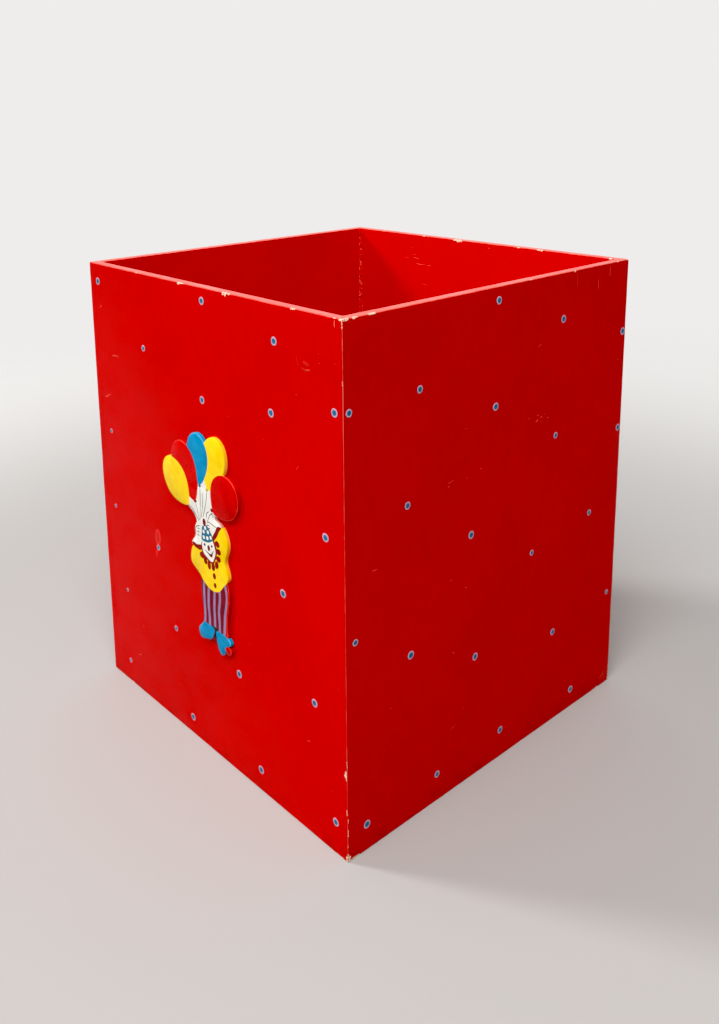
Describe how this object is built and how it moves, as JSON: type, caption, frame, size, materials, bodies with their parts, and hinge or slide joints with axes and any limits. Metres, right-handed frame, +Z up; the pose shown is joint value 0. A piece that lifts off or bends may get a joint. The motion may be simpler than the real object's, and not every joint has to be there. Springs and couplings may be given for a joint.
{
  "type": "open-top wooden bin",
  "caption": "Open-top square bin of thin red-painted board with hand-painted blue dots and a painted clown-and-balloons cut-out on its front, for holding toys or paper.",
  "frame": {"origin": "centre of the underside, on the surface that the bin stands on", "axes": "+Z up through the open top; -Y is the front, which carries the cut-out; +X is to the right seen from the front"},
  "size_m": [0.25, 0.2525, 0.3],
  "materials": {
    "painted_board": "semi-gloss red enamel over thin board, worn to cream primer at the edges",
    "painted_cutout": "satin enamel in several colours over thin board",
    "pin_steel": "bright drawn wire"
  },
  "bodies": {
    "root": {"left_panel": "painted_board", "right_panel": "painted_board", "front_panel": "painted_board", "back_panel": "painted_board", "bottom_panel": "painted_board", "clown_plaque": "painted_cutout", "front_left_corner_pins": "pin_steel", "front_right_corner_pins": "pin_steel", "back_left_corner_pins": "pin_steel", "back_right_corner_pins": "pin_steel", "front_bottom_pins": "pin_steel", "back_bottom_pins": "pin_steel", "left_bottom_pins": "pin_steel", "right_bottom_pins": "pin_steel"}
  },
  "joints": []
}
